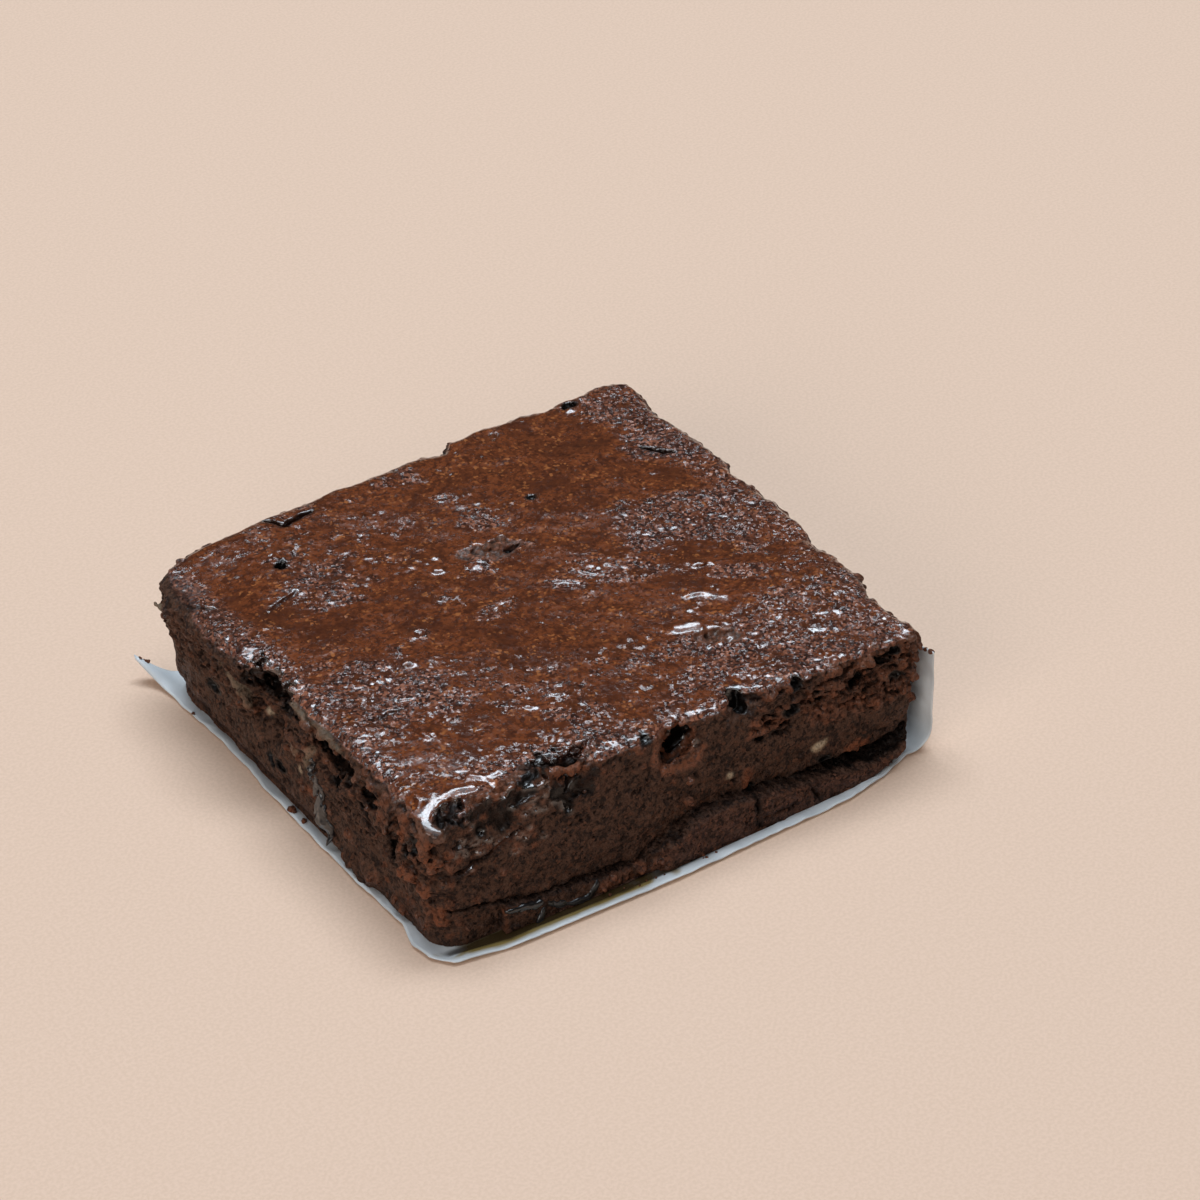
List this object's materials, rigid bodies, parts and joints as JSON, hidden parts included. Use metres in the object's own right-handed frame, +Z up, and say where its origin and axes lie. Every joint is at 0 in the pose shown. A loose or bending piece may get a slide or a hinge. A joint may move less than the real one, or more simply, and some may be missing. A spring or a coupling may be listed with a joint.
{
  "type": "chocolate brownie",
  "caption": "Square fudgy chocolate brownie, cut by hand, with a glossy cracked crust, torn crumb faces and a squeezed bottom lip, lying on its sheet of baking paper.",
  "frame": {"origin": "on the table, under the middle of the box that holds the brownie and its paper", "axes": "+X along the long cut face, from the viewer's left to right, towards the side where the paper stands up; +Y from that front face to the back; +Z up"},
  "size_m": [0.0864, 0.083, 0.0229],
  "materials": {
    "crumb": "baked chocolate crumb: dense, moist and finely pitted on the cut faces, torn and crumbly under the crust",
    "crust": "thin baked crust, wet and reddish brown where syrup has pooled, dry and purplish grey with fine sparkling grain between",
    "syrup": "thin clear brown syrup, wet gloss",
    "baking_paper": "thin white translucent greaseproof paper, slightly crinkled, soft satin"
  },
  "bodies": {
    "root": {"brownie": "crumb", "baking_paper": "baking_paper"}
  },
  "joints": []
}
